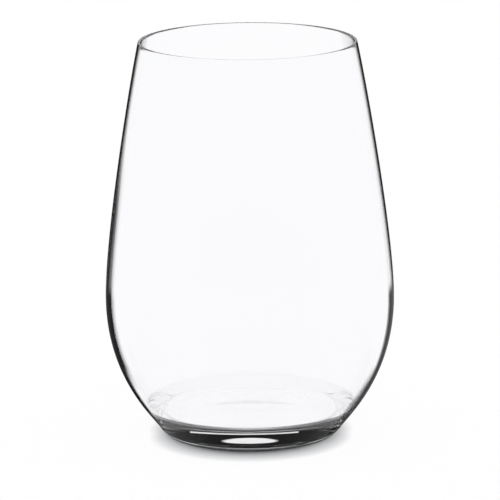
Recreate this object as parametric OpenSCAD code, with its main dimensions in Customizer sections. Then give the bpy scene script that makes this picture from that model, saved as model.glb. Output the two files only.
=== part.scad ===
// Stemless wine glass, blown in one piece of clear glass
// Millimetres, +Z up, origin on the table at the centre of the foot

/* [Bowl] */
// Height from the table to the top of the rim
glass_height = 108; // [95:0.5:124]
// Radius of the belly at its widest
belly_radius = 39.3; // [34:0.1:46]
// Height of that widest point above the table
belly_height = 37.4; // [32:0.2:46]
// Outside radius of the mouth
mouth_radius = 29.6; // [24:0.2:36]
// Lean of the wall at the mouth, in degrees from upright
mouth_lean = 12.3; // [4:0.1:20]

/* [Wall] */
// Thickness at the mouth, whose rim is melted round
mouth_wall = 0.9; // [0.6:0.05:1.8]
// Thickness at the belly
belly_wall = 1.2; // [0.8:0.05:2.4]
// Thickness at the heel, where the wall turns into the floor
heel_wall = 2.2; // [1.6:0.1:4]
// Height of the inside floor above the table, at the axis
floor_height = 5; // [3:0.1:8]

/* [Foot] */
// Radius of the body just above its rounded foot
foot_radius = 24.95; // [24.2:0.05:30]
// Height of that rounding
foot_height = 1.5; // [0.8:0.1:2.4]
// Flare of the body above the foot, in degrees from upright
foot_flare = 33.2; // [20:0.2:44]
// Outer radius of the flat ring that the glass stands on
ring_outer_radius = 22.6; // [21:0.1:23]
// Inner radius of that ring
ring_inner_radius = 20; // [16:0.2:20.8]
// Depth of the hollow under the foot
punt_depth = 0.8; // [0.2:0.1:1.6]

/* [Hidden] */
$fn = 72;

// Chords along each curve
wall_steps = 16;
heel_steps = 12;
foot_steps = 6;
lip_steps = 4;

// Curve handles, as shares of the rise or radius that each one follows
foot_handle_share = 0.111;
under_belly_handle_share = 0.604;
over_belly_handle_share = 0.236;
mouth_handle_share = 0.163;
heel_handle_share = 0.8;
floor_handle_share = 0.62;
foot_round_share = 0.6;
punt_handle_share = 0.5;
ring_handle_share = 0.8;

// Place along the lower curve where the inside leaves the wall for the floor
heel_place_share = 0.42;

// Outer curve below the belly
foot_point = [foot_radius, foot_height];
belly_point = [belly_radius, belly_height];
lower_rise = belly_height - foot_height;
flare_way = [sin(foot_flare), cos(foot_flare)];
lower_curve = [
    foot_point,
    foot_point + foot_handle_share * lower_rise * flare_way,
    belly_point - [0, under_belly_handle_share * lower_rise],
    belly_point
];

// Round lip and the outer curve up to it
upper_rise = glass_height - belly_height;
lip_radius = mouth_wall / 2;
lip_centre = [mouth_radius - lip_radius, glass_height - lip_radius];
lip_outside = lip_centre + lip_radius * [cos(mouth_lean), sin(mouth_lean)];
mouth_way = [-sin(mouth_lean), cos(mouth_lean)];
upper_curve = [
    belly_point,
    belly_point + [0, over_belly_handle_share * upper_rise],
    lip_outside - mouth_handle_share * upper_rise * mouth_way,
    lip_outside
];

// Rounding of the foot and the hollow under it
ring_edge = [ring_outer_radius, 0];
foot_corner = [foot_radius - foot_height * tan(foot_flare), 0];
foot_curve = [
    ring_edge,
    lerp(ring_edge, foot_corner, foot_round_share),
    lerp(foot_point, foot_corner, foot_round_share),
    foot_point
];
punt_curve = [
    [0, punt_depth],
    [punt_handle_share * ring_inner_radius, punt_depth],
    [ring_handle_share * ring_inner_radius, 0],
    [ring_inner_radius, 0]
];

// Inside wall from the mouth down to the heel
upper_inside = [
    for (i = [wall_steps - 1:-1:1])
        inward(upper_curve, i / wall_steps, upper_wall(i / wall_steps))
];
lower_inside = [
    for (i = [wall_steps:-1:0])
        let (place = lerp(heel_place_share, 1, i / wall_steps))
        inward(lower_curve, place, lower_wall(place))
];

// Floor, tangent to the wall at the heel and level at the axis
heel_point = lower_inside[wall_steps];
heel_way = unit(heel_point - lower_inside[wall_steps - 1]);
heel_drop = heel_point.y - floor_height;
floor_curve = [
    heel_point,
    heel_point + heel_handle_share * heel_drop * heel_way,
    [floor_handle_share * heel_point.x, floor_height],
    [0, floor_height]
];

glass_section = concat(
    points_along(punt_curve, foot_steps, 0),
    points_along(foot_curve, foot_steps, 0),
    points_along(lower_curve, wall_steps, 1),
    points_along(upper_curve, wall_steps, 1),
    lip_arc(mouth_lean, 90),
    lip_arc(90, 180 + mouth_lean),
    upper_inside,
    lower_inside,
    points_along(floor_curve, heel_steps, 1)
);

function lerp(a, b, t) = a + (b - a) * t;

function unit(v) = v / norm(v);

function upper_wall(t) = lerp(belly_wall, mouth_wall, t * t);

function lower_wall(t) =
    let (left = (1 - t) / (1 - heel_place_share))
    lerp(belly_wall, heel_wall, left * left);

function bezier(h, t) =
    let (
        a = lerp(h[0], h[1], t),
        b = lerp(h[1], h[2], t),
        c = lerp(h[2], h[3], t)
    )
    lerp(lerp(a, b, t), lerp(b, c, t), t);

function heading(h, t) =
    let (
        a = lerp(h[0], h[1], t),
        b = lerp(h[1], h[2], t),
        c = lerp(h[2], h[3], t)
    )
    unit(lerp(b, c, t) - lerp(a, b, t));

function inward(h, t, depth) =
    let (way = heading(h, t))
    bezier(h, t) + depth * [-way.y, way.x];

function points_along(h, steps, first) =
    [for (i = [first:steps]) bezier(h, i / steps)];

function lip_arc(from, to) = [
    for (i = [1:lip_steps])
        let (turn = lerp(from, to, i / lip_steps))
        lip_centre + lip_radius * [cos(turn), sin(turn)]
];

module stemless_glass() {
    color([0.93, 0.96, 0.97, 0.35])
        rotate_extrude()
            polygon(glass_section);
}

stemless_glass();
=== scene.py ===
from math import radians, sin, cos, tan, pi
import bpy
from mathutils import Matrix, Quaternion, Vector


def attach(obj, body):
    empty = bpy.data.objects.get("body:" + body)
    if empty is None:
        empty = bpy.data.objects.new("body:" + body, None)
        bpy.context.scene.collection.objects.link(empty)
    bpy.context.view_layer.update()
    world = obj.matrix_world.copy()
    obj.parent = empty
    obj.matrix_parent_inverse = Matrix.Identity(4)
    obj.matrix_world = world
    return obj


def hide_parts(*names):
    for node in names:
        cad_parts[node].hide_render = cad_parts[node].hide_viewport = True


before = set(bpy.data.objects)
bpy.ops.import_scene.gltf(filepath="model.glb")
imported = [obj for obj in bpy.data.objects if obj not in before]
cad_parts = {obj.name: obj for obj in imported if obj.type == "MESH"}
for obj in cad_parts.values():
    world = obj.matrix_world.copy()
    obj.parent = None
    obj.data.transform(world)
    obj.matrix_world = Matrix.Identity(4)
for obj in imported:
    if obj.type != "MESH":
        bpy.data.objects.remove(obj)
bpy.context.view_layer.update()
scene = bpy.context.scene
mm = 0.001
degree = pi / 180


def hexColour(code):
    channels = [int(code[i:i + 2], 16) / 255 for i in (1, 3, 5)]
    return [c / 12.92 if c <= 0.04045 else ((c + 0.055) / 1.055) ** 2.4 for c in channels] + [1.0]


# Adds one node with its settings; inputs come in order, or by number or name, and may be nodes or sockets
def addNode(tree, kind, inputs=(), **settings):
    node = tree.nodes.new("ShaderNode" + kind)
    for name, value in settings.items():
        setattr(node, name, value)
    named = inputs if isinstance(inputs, dict) else dict(enumerate(inputs))
    for socket, value in named.items():
        if isinstance(value, bpy.types.Node):
            value = value.outputs[0]
        if isinstance(value, bpy.types.NodeSocket):
            tree.links.new(value, node.inputs[socket])
        else:
            node.inputs[socket].default_value = value
    return node


def deselectAll():
    if bpy.context.object and bpy.context.object.mode != "OBJECT":
        bpy.ops.object.mode_set(mode="OBJECT")
    bpy.ops.object.select_all(action="DESELECT")


# The camera's place was fitted to the photograph; lengths are in millimetres and angles in degrees
camera = {
    "elevation": 12.75, "distance": 1150, "aimHeight": 50.2, "aside": 0.15,
    "lens": 304.3, "sensor": 36, "roll": 0.55, "nearest": 50, "farthest": 50000,
}


def placeCamera(camera):
    deselectAll()
    tilt = radians(camera["elevation"])
    back, rise = camera["distance"] * cos(tilt), camera["distance"] * sin(tilt)
    bpy.ops.object.camera_add(
        location=(camera["aside"] * mm, -back * mm, (camera["aimHeight"] + rise) * mm),
        rotation=(radians(90) - tilt, 0, 0))
    eye = bpy.context.object
    eye.name = "photoCamera"
    eye.rotation_mode = "QUATERNION"
    eye.rotation_quaternion = eye.rotation_quaternion @ Quaternion((0, 0, 1), -radians(camera["roll"]))
    eye.data.sensor_width = camera["sensor"]
    eye.data.lens = camera["lens"]
    eye.data.clip_start, eye.data.clip_end = camera["nearest"] * mm, camera["farthest"] * mm
    scene.camera = eye


placeCamera(camera)
print("camera: %.2f degrees up, %.1f mm lens" % (camera["elevation"], camera["lens"]))

# The glass, in millimetres and degrees; handles, rounding and heelPlace are shares of the length they follow
glass = {
    "height": 108.0, "bellyRadius": 39.3, "bellyHeight": 37.4, "mouthRadius": 29.6, "mouthLean": 12.3,
    "mouthWall": 0.9, "bellyWall": 1.45, "heelWall": 1.3, "floorHeight": 7.2,
    "footRadius": 24.95, "footHeight": 1.5, "footFlare": 33.2,
    "ringOuter": 22.6, "ringInner": 20.0, "punt": 0.8,
    "footHandle": 0.111, "underBelly": 0.604, "overBelly": 0.236, "mouthHandle": 0.163,
    "heelPlace": 0.34, "heelHandle": 0.9, "floorHandle": 0.66,
    "footRound": 0.6, "puntHandle": 0.5, "ringHandle": 0.8,
    "steps": 48, "puntSteps": 16, "footSteps": 12, "lipSteps": 12, "turns": 240, "weld": 0.002,
}


# A point at a share of a curve, or inward of it by a depth
def curvePoint(curve, place, depth=0.0):
    first, middle, last = [curve[i].lerp(curve[i + 1], place) for i in range(3)]
    start, end = first.lerp(middle, place), middle.lerp(last, place)
    way = (end - start).normalized()
    return start.lerp(end, place) + depth * Vector((-way.y, way.x))


def alongCurve(curve, steps):
    return [curvePoint(curve, i / steps) for i in range(1, steps + 1)]


# Half the section, from under the foot round the outside, over the lip and down to the inside floor
def halfProfile(glass):
    steps = glass["steps"]
    flare, lean = radians(glass["footFlare"]), radians(glass["mouthLean"])
    flareWay, leanWay = Vector((sin(flare), cos(flare))), Vector((-sin(lean), cos(lean)))
    foot = Vector((glass["footRadius"], glass["footHeight"]))
    belly = Vector((glass["bellyRadius"], glass["bellyHeight"]))
    rise, fall = belly.y - foot.y, glass["height"] - belly.y
    lip = glass["mouthWall"] / 2
    lipCentre = Vector((glass["mouthRadius"] - lip, glass["height"] - lip))
    lipSide = lipCentre + lip * Vector((cos(lean), sin(lean)))
    lower = [foot, foot + glass["footHandle"] * rise * flareWay,
             belly - Vector((0, glass["underBelly"] * rise)), belly]
    upper = [belly, belly + Vector((0, glass["overBelly"] * fall)),
             lipSide - glass["mouthHandle"] * fall * leanWay, lipSide]
    ring, innerRing = Vector((glass["ringOuter"], 0)), Vector((glass["ringInner"], 0))
    corner = Vector((foot.x - foot.y * tan(flare), 0))
    footCurve = [ring, ring.lerp(corner, glass["footRound"]), foot.lerp(corner, glass["footRound"]), foot]
    puntCurve = [Vector((0, glass["punt"])), Vector((glass["puntHandle"] * innerRing.x, glass["punt"])),
                 glass["ringHandle"] * innerRing, innerRing]
    points = [puntCurve[0]] + alongCurve(puntCurve, glass["puntSteps"]) + [ring]
    points += alongCurve(footCurve, glass["footSteps"]) + alongCurve(lower, steps) + alongCurve(upper, steps)
    for i in range(1, glass["lipSteps"]):
        turn = lean + pi * i / glass["lipSteps"]
        points.append(lipCentre + lip * Vector((cos(turn), sin(turn))))
    for i in range(steps + 1):
        place = 1 - i / steps
        wall = glass["bellyWall"] + (glass["mouthWall"] - glass["bellyWall"]) * place * place
        points.append(curvePoint(upper, place, wall))
    for i in range(1, steps + 1):
        place = 1 - (1 - glass["heelPlace"]) * i / steps
        wall = glass["bellyWall"] + (glass["heelWall"] - glass["bellyWall"]) * (i / steps) ** 2
        points.append(curvePoint(lower, place, wall))
    heel = points[-1]
    heelWay = (points[-1] - points[-2]).normalized()
    floorHeight = glass["floorHeight"]
    floorCurve = [heel, heel + glass["heelHandle"] * (heel.y - floorHeight) * heelWay,
                  Vector((glass["floorHandle"] * heel.x, floorHeight)), Vector((0, floorHeight))]
    points += alongCurve(floorCurve, steps)
    return [Vector((point.x, 0, point.y)) * mm for point in points]


def blowGlass(glass):
    deselectAll()
    points = halfProfile(glass)
    bpy.ops.mesh.primitive_plane_add(size=mm, enter_editmode=True)
    piece = bpy.context.object
    piece.name = "stemlessBowl"
    bpy.ops.mesh.select_all(action="SELECT")
    bpy.ops.mesh.merge(type="CENTER")
    bpy.ops.transform.translate(value=points[0])
    for before, after in zip(points, points[1:]):
        bpy.ops.mesh.extrude_region_move(TRANSFORM_OT_translate={"value": after - before})
    bpy.ops.mesh.select_all(action="SELECT")
    bpy.ops.mesh.spin(steps=glass["turns"], angle=2 * pi, center=(0, 0, 0), axis=(0, 0, 1))
    bpy.ops.mesh.select_all(action="SELECT")
    bpy.ops.mesh.remove_doubles(threshold=glass["weld"] * mm)
    bpy.ops.mesh.normals_make_consistent(inside=False)
    bpy.ops.object.mode_set(mode="OBJECT")
    bpy.ops.object.shade_smooth()
    return piece


bowl = blowGlass(glass)
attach(bowl, "root")
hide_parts("stemless_glass")
print("glass: %d faces" % len(bowl.data.polygons), [round(v, 5) for v in bowl.dimensions])

# Clear crystal blown in a mould looks clean and colourless, and its skin wavers slowly, so what it mirrors
# isn't quite even. The two tints are hardly apart to the eye, and a trace of haze from handling comes and
# goes. Pattern sizes are in millimetres, and an upwardRate under 1 draws a pattern out up the wall
crystal = {
    "tint": "#FDFDFE", "drawnTint": "#FCFCFE", "ior": 1.5,
    "drawn": {"size": 60.0, "upwardRate": 1.0, "detail": 1.0},
    "wear": {"size": 7.0, "upwardRate": 1.0, "detail": 3.0},
    "wave": {"size": 34.0, "upwardRate": 0.35, "detail": 0.0},
    "wearFrom": 0.55, "wearTo": 0.8, "polish": 0.0, "worn": 0.012, "waveDepth": 0.02,
}


def crystalMaterial(crystal):
    material = bpy.data.materials.new("machineBlownCrystal")
    material.use_nodes = True
    tree = material.node_tree
    tree.nodes.clear()
    place = addNode(tree, "TexCoord").outputs["Object"]
    noise = {}
    for name in ("drawn", "wear", "wave"):
        pattern = crystal[name]
        rate = 1 / (pattern["size"] * mm)
        rates = (rate, rate, rate * pattern["upwardRate"])
        scaled = addNode(tree, "VectorMath", (place, rates), operation="MULTIPLY")
        grain = addNode(tree, "TexNoise", {"Vector": scaled, "Scale": 1.0, "Detail": pattern["detail"]})
        noise[name] = grain.outputs["Fac"]
    tints = {0: noise["drawn"], 6: hexColour(crystal["tint"]), 7: hexColour(crystal["drawnTint"])}
    tint = addNode(tree, "Mix", tints, data_type="RGBA")
    haze = addNode(tree, "MapRange", (
        noise["wear"], crystal["wearFrom"], crystal["wearTo"], crystal["polish"], crystal["worn"]))
    waver = addNode(tree, "Bump", {
        "Height": noise["wave"], "Distance": crystal["waveDepth"] * mm, "Strength": 1.0})
    shader = addNode(tree, "BsdfPrincipled", {
        "Base Color": tint.outputs[2], "Roughness": haze, "IOR": crystal["ior"],
        "Transmission Weight": 1.0, "Normal": waver})
    addNode(tree, "OutputMaterial", {"Surface": shader})
    return material


bowl.data.materials.clear()
bowl.data.materials.append(crystalMaterial(crystal))
print("crystal: index %.2f" % crystal["ior"])

# To the camera and to diffuse light the world is white and the floor pale. To a ray that left the glass both
# glow with painted dark and light fields, which stand still in the room: painted shade and painted light
# that the glass shows as its dark edges and highlights. A field gives a range to each fact it looks at:
# turn is degrees round from straight behind, away is turn without its sign, offSide how far that is from
# 90, slope degrees up, reach millimetres along the floor, and passes and mirrors count how often the ray
# went through a skin and was mirrored. No real card could tell rays apart by those counts.
# A patch is a field and its strength, a spot of painted light or painted shade
most = 100
anyDown = -91
ways = {
    "offSkin": {"passes": (-0.5, 0.5), "mirrors": (0.5, most)},
    "inWall": {"passes": (1.5, 2.5), "mirrors": (0.5, most)},
    "firstMirror": {"mirrors": (-0.5, 1.5)},
    "guided": ({"mirrors": (4.5, 7.5), "offSide": (77.0, 91.0)}, 0.85),
}


def rayFacts(tree, place):
    path = addNode(tree, "LightPath")
    axes = addNode(tree, "SeparateXYZ", (place,))
    flat = addNode(tree, "CombineXYZ", (axes.outputs[0], axes.outputs[1]))
    turn = addNode(tree, "Math", (axes.outputs[0], axes.outputs[1]), operation="ARCTAN2")
    turn = addNode(tree, "Math", (turn, degree), operation="DIVIDE")
    away = addNode(tree, "Math", (turn,), operation="ABSOLUTE")
    offSide = addNode(tree, "Math", (away, 90.0), operation="SUBTRACT")
    return {
        "passes": path.outputs["Transmission Depth"], "mirrors": path.outputs["Glossy Depth"],
        "camera": path.outputs["Is Camera Ray"], "diffuse": path.outputs["Diffuse Depth"],
        "turn": turn, "away": away, "offSide": addNode(tree, "Math", (offSide,), operation="ABSOLUTE"),
        "along": addNode(tree, "VectorMath", (flat,), operation="LENGTH").outputs["Value"],
        "rise": axes.outputs[2],
    }


# The strength inside the field, and 0 outside it
def inField(tree, ray, field, strength=1.0):
    for name, (low, high) in field.items():
        within = addNode(tree, "Math", (ray[name], (low + high) / 2, (high - low) / 2), operation="COMPARE")
        strength = addNode(tree, "Math", (strength, within), operation="MULTIPLY")
    return strength


# The tone, or a patch's strength where that is greater
def withPatches(tree, ray, tone, patches):
    for field, strength in patches:
        patch = inField(tree, ray, field, strength)
        tone = addNode(tree, "Math", (tone, patch), operation="MAXIMUM")
    return tone


# Changes a base tone to painted skin or wall tones for rays that the outer skin mirrored, and for those
# that the wall sent out again
def afterGlass(tree, ray, base, skinTone, wallTone):
    for way, tone in (("offSkin", skinTone), ("inWall", wallTone)):
        change = addNode(tree, "Math", (tone, 1.0), operation="SUBTRACT")
        base = addNode(tree, "Math", (inField(tree, ray, ways[way]), change, base), operation="MULTIPLY_ADD")
    lighting = addNode(tree, "Math", (ray["diffuse"], 0.5), operation="GREATER_THAN")
    return addNode(tree, "Math", (base, lighting), operation="MAXIMUM")


# Painted tones across the turn, whose places are shares of how wide the painted dark edges stand at
# that reach
edges = {
    "spread": 35.0, "nearSpread": 1900.0, "skySpread": 37.0, "halfRow": 1.5, "dark": 0.04,
    "low": [(-1.14, 1.0), (-1.09, 0.0), (0.60, 0.12), (0.90, 0.03), (1.0, 1.0)],
    "high": [(-1.10, 1.0), (-1.04, 0.22), (-0.80, 0.22), (-0.76, 0.02), (0.62, 0.03), (0.75, 1.0)],
    "heel": [(-0.95, 1.0), (-0.91, 0.0), (0.60, 0.12), (0.95, 0.03), (1.07, 0.03), (1.12, 1.0)],
    "top": [(-0.80, 1.0), (-0.62, 0.03), (0.60, 0.03), (0.76, 1.0)],
    "highReach": (192.0, 216.0), "heelReach": (65.0, 45.0), "topReach": (420.0, 620.0),
    "contactReach": (29.2, 31.0), "contactTone": 0.15, "lipSlope": (4.0, 6.0),
}


def edgeRow(tree, share, stops):
    half = edges["halfRow"]
    place = addNode(tree, "Math", (share, 0.5 / half, 0.5), operation="MULTIPLY_ADD")
    row = addNode(tree, "ValToRGB", (place,))
    elements = row.color_ramp.elements
    while len(elements) < len(stops):
        elements.new(0.5)
    for element, (at, tone) in zip(elements, stops):
        element.position = (at / half + 1) / 2
    for element, (at, tone) in zip(elements, stops):
        element.color = (tone, tone, tone, 1)
    return row


# Past its painted dark edges the floor is painted light again close by, and so are places ahead and under
# the foot. To rays that were mirrored three times and passed more skins than two it has painted shade near
# the foot
openFloor = {
    "leftAhead": 0.2, "share": (1.06, 1.14), "reach": (450.0, 330.0), "few": {"mirrors": (-0.5, 4.5)},
    "edgeTone": 0.4, "underFoot": {"reach": (-1.0, 15.0)}, "underFootTone": 0.7,
    "ahead": ({"mirrors": (2.5, 3.5), "turn": (-12.0, 12.0), "reach": (42.0, 58.0)}, 1.0),
    "darkInside": {"mirrors": (2.5, 3.5), "passes": (2.5, most), "reach": (-1.0, 60.0)},
}


def floorTone(tree, ray):
    reach = addNode(tree, "Math", (ray["along"], mm), operation="DIVIDE")
    ray = dict(ray, reach=reach)
    wide = addNode(tree, "Math", (edges["nearSpread"], reach), operation="DIVIDE")
    wide = addNode(tree, "Math", (wide, edges["spread"]), operation="ADD")
    share = addNode(tree, "Math", (ray["turn"], wide), operation="DIVIDE")
    edge = edgeRow(tree, share, edges["low"])
    for name in ("high", "heel", "top"):
        blend = addNode(tree, "MapRange", (reach, *edges[name + "Reach"]))
        edge = addNode(tree, "Mix", {0: blend, 2: edge, 3: edgeRow(tree, share, edges[name])})
    # Painted shade: to rays from the glass the floor is darker close round the foot
    contact = addNode(tree, "MapRange", (reach, *edges["contactReach"], edges["contactTone"], 1.0))
    edge = addNode(tree, "Math", (edge, contact), operation="MINIMUM")
    beside = addNode(tree, "Math", (share, openFloor["leftAhead"]), operation="ADD")
    beside = addNode(tree, "Math", (beside,), operation="ABSOLUTE")
    beyond = addNode(tree, "MapRange", (beside, *openFloor["share"]))
    near = addNode(tree, "MapRange", (reach, *openFloor["reach"]))
    near = inField(tree, ray, openFloor["few"], near)
    wall = addNode(tree, "Math", (edge, openFloor["edgeTone"]), operation="MINIMUM")
    wall = addNode(tree, "Mix", {0: beyond, 2: wall, 3: near})
    foot = inField(tree, ray, openFloor["underFoot"], openFloor["underFootTone"])
    wall = addNode(tree, "Math", (wall, foot), operation="ADD")
    wall = withPatches(tree, ray, wall, [openFloor["ahead"], ways["guided"]])
    wall = addNode(tree, "Mix", {0: inField(tree, ray, ways["firstMirror"]), 2: wall, 3: edge})
    inside = inField(tree, ray, openFloor["darkInside"])
    base = addNode(tree, "Math", (inside, edges["dark"] - 1, 1.0), operation="MULTIPLY_ADD")
    return afterGlass(tree, ray, base, edge, wall)


# The painted light field that the heel shows as its bright lens, and the strip and shelf of painted light
# for its white line and pale band
lens = {
    "turn": 0.6, "halfWidth": 11.2, "slope": 15.7, "below": 0.6, "above": 3.0, "point": 1.3,
    "fade": (1.1, 0.85),
    "strip": ({"turn": (-20.0, 28.0), "slope": (8.2, 11.0)}, 1.0),
    "shelf": ({"turn": (-30.0, 30.0), "slope": (10.0, 15.0), "mirrors": (2.5, 3.5)}, 0.7),
}


def lensTone(tree, ray):
    across = addNode(tree, "Math", (ray["turn"], lens["turn"]), operation="SUBTRACT")
    across = addNode(tree, "Math", (across, lens["halfWidth"]), operation="DIVIDE")
    across = addNode(tree, "Math", (across,), operation="ABSOLUTE")
    across = addNode(tree, "Math", (across, lens["point"]), operation="POWER")
    over = addNode(tree, "Math", (ray["slope"], lens["slope"]), operation="SUBTRACT")
    above = addNode(tree, "Math", (over, lens["above"]), operation="DIVIDE")
    below = addNode(tree, "Math", (over, -lens["below"]), operation="DIVIDE")
    off = addNode(tree, "Math", (above, below), operation="MAXIMUM")
    off = addNode(tree, "Math", (off, off, across), operation="MULTIPLY_ADD")
    tone = addNode(tree, "MapRange", (off, *lens["fade"]))
    return withPatches(tree, ray, tone, [lens["strip"], lens["shelf"], ways["guided"]])


# The painted dark ceiling: wandering and overhead say to which rays it is dark and from what slope, and gap
# where it is open again. edgeSeen says where the sky's painted dark edges show after a first mirroring
ceiling = {
    "wandering": [
        ({"passes": (2.5, 4.5), "mirrors": (1.5, 8.5), "slope": (14.0, 91.0)}, 1.0),
        ({"passes": (2.5, 8.5), "mirrors": (1.5, 8.5), "slope": (14.0, 91.0), "away": (-1.0, 90.0)}, 1.0),
    ],
    "gap": {"away": (-1.0, 42.0), "slope": (26.0, 66.0), "mirrors": (2.5, 3.5), "passes": (3.5, 4.5)},
    "gapTone": 0.85,
    "overhead": [
        ({"passes": (2.5, most), "mirrors": (0.5, 8.5), "slope": (62.0, 91.0)}, 1.0),
        ({"passes": (1.5, 2.5), "mirrors": (-0.5, 0.5), "slope": (30.0, 91.0)}, 1.0),
    ],
    "edgeSeen": [({"slope": (anyDown, 8.0)}, 1.0), ({"away": (90.0, 181.0), "slope": (anyDown, 45.0)}, 1.0)],
}


# The world's painted dark edges, lens highlight and dark ceiling, for rays that left the glass
def skyTone(tree, ray):
    slope = addNode(tree, "Math", (ray["rise"], ray["along"]), operation="ARCTAN2")
    slope = addNode(tree, "Math", (slope, degree), operation="DIVIDE")
    ray = dict(ray, slope=slope)
    share = addNode(tree, "Math", (ray["turn"], edges["skySpread"]), operation="DIVIDE")
    edge = edgeRow(tree, share, edges["top"])
    lip = addNode(tree, "MapRange", (slope, *edges["lipSlope"]))
    skin = addNode(tree, "Math", (edge, lip), operation="MAXIMUM")
    edgeSeen = withPatches(tree, ray, 0.0, ceiling["edgeSeen"])
    edgeSeen = inField(tree, ray, ways["firstMirror"], edgeSeen)
    wall = addNode(tree, "Mix", {0: edgeSeen, 2: lensTone(tree, ray), 3: edge})
    gap = inField(tree, ray, ceiling["gap"])
    shut = addNode(tree, "Math", (gap, -ceiling["gapTone"], 1.0), operation="MULTIPLY_ADD")
    dark = withPatches(tree, ray, 0.0, ceiling["wandering"])
    dark = addNode(tree, "Math", (dark, shut), operation="MULTIPLY")
    dark = withPatches(tree, ray, dark, ceiling["overhead"])
    base = addNode(tree, "Math", (dark, edges["dark"] - 1, 1.0), operation="MULTIPLY_ADD")
    return afterGlass(tree, ray, base, skin, wall)


# The floor's colour, and its soft painted shadow, which occlusion of the glass draws into that colour and
# which reaches further at the front
sweep = {
    "colour": "#F4F4F4", "shade": "#20292B", "size": 14000, "airGap": 0.03,
    "sideAt": -0.2, "sideDepth": 3.6, "frontAt": -1.0, "frontDepth": 9.0, "frontTilt": 30.0,
    "openness": (0.15, 0.95), "gamma": 0.4, "samples": 24,
}


# Matt white paper: even and without gloss, with a cool grey painted shadow close round the foot
def matteSweep(sweep):
    material = bpy.data.materials.new("matteSweep")
    material.use_nodes = True
    tree = material.node_tree
    tree.nodes.clear()
    place = addNode(tree, "TexCoord").outputs["Object"]
    ray = rayFacts(tree, place)
    tilt = radians(sweep["frontTilt"])
    lightWay = addNode(tree, "CombineXYZ", {1: sin(tilt), 2: cos(tilt)})
    facing = addNode(tree, "VectorMath", (place,), operation="NORMALIZE")
    facing = addNode(tree, "SeparateXYZ", (facing,)).outputs[1]
    depths = (sweep["sideDepth"] * mm, sweep["frontDepth"] * mm)
    depth = addNode(tree, "MapRange", (facing, sweep["sideAt"], sweep["frontAt"], *depths))
    around = {"Distance": depth, "Normal": lightWay}
    clear = addNode(tree, "AmbientOcclusion", around, samples=sweep["samples"])
    clear = addNode(tree, "MapRange", (clear.outputs["AO"], *sweep["openness"]))
    clear = addNode(tree, "Math", (clear, sweep["gamma"]), operation="POWER")
    # The painted shadow darkens both the paper colour and its glow
    shades = {0: clear, 6: hexColour(sweep["shade"]), 7: (1, 1, 1, 1)}
    shaded = addNode(tree, "Mix", shades, data_type="RGBA").outputs[2]
    paper = hexColour(sweep["colour"])
    colour = addNode(tree, "Mix", {0: 1.0, 6: shaded, 7: paper}, data_type="RGBA", blend_type="MULTIPLY")
    matt = addNode(tree, "BsdfDiffuse", {"Color": colour.outputs[2]})
    lift = addNode(tree, "Emission", {"Color": shaded, "Strength": 1 - paper[0]})
    seen = addNode(tree, "AddShader", (matt, lift))
    # To rays that left the glass the floor glows with painted dark and light fields instead
    through = addNode(tree, "Emission", {"Strength": floorTone(tree, ray)})
    mixed = addNode(tree, "MixShader", (ray["camera"], through, seen))
    addNode(tree, "OutputMaterial", {"Surface": mixed})
    return material


deselectAll()
bpy.ops.mesh.primitive_plane_add(size=sweep["size"] * mm, location=(0, 0, -sweep["airGap"] * mm))
floor = bpy.context.object
floor.name = "floor"
floor.data.materials.append(matteSweep(sweep))
print("floor: %.2f mm under the foot" % sweep["airGap"])


# The world is white to the camera and glows with painted dark and light fields for rays that left the glass
def paleStudio():
    world = bpy.data.worlds.new("paleStudio")
    scene.world = world
    world.use_nodes = True
    tree = world.node_tree
    tree.nodes.clear()
    ray = rayFacts(tree, addNode(tree, "TexCoord").outputs["Generated"])
    light = addNode(tree, "Background", {"Color": (1, 1, 1, 1), "Strength": skyTone(tree, ray)})
    addNode(tree, "OutputWorld", {"Surface": light})
    print("studio: %d world nodes" % len(tree.nodes))


paleStudio()

# Bounces enough for light that wanders along the wall, and no blur of what the glass mirrors
bounces = {"all": 80, "through": 32, "mirrored": 72}
scene.view_settings.view_transform = "Standard"
scene.cycles.max_bounces = bounces["all"]
scene.cycles.transmission_bounces = bounces["through"]
scene.cycles.glossy_bounces = bounces["mirrored"]
scene.cycles.blur_glossy = 0.0
